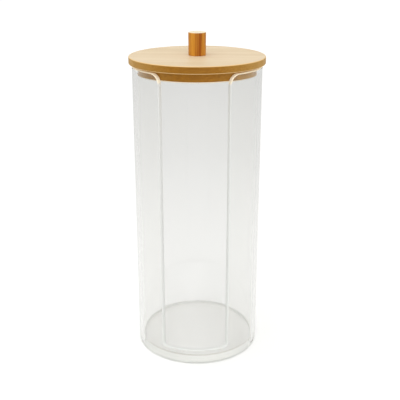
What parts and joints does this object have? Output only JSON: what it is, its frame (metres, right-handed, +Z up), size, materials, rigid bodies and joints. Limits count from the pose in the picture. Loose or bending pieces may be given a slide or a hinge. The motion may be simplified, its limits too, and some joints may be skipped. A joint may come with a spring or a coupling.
{
  "type": "cotton ball holder",
  "caption": "Tall clear acrylic tube with a wide slot down its front, a clear base disc and a loose turned bamboo lid with a dowel knob.",
  "frame": {"origin": "centre of the base on the surface it stands on, on the axis of the tube", "axes": "+Z up along the tube, -Y out of the front slot, +X to the right as seen from the front"},
  "size_m": [0.0734, 0.0734, 0.1808],
  "materials": {
    "tube": "clear polished acrylic",
    "base_disc": "clear polished acrylic",
    "lid": "sanded bamboo with a satin clear coat",
    "knob": "bamboo dowel with a satin clear coat",
    "knob_screw": "zinc plated"
  },
  "bodies": {
    "root": {"tube": "tube", "base_disc": "base_disc", "lid": "lid", "knob": "knob", "knob_screw": "knob_screw"}
  },
  "joints": []
}
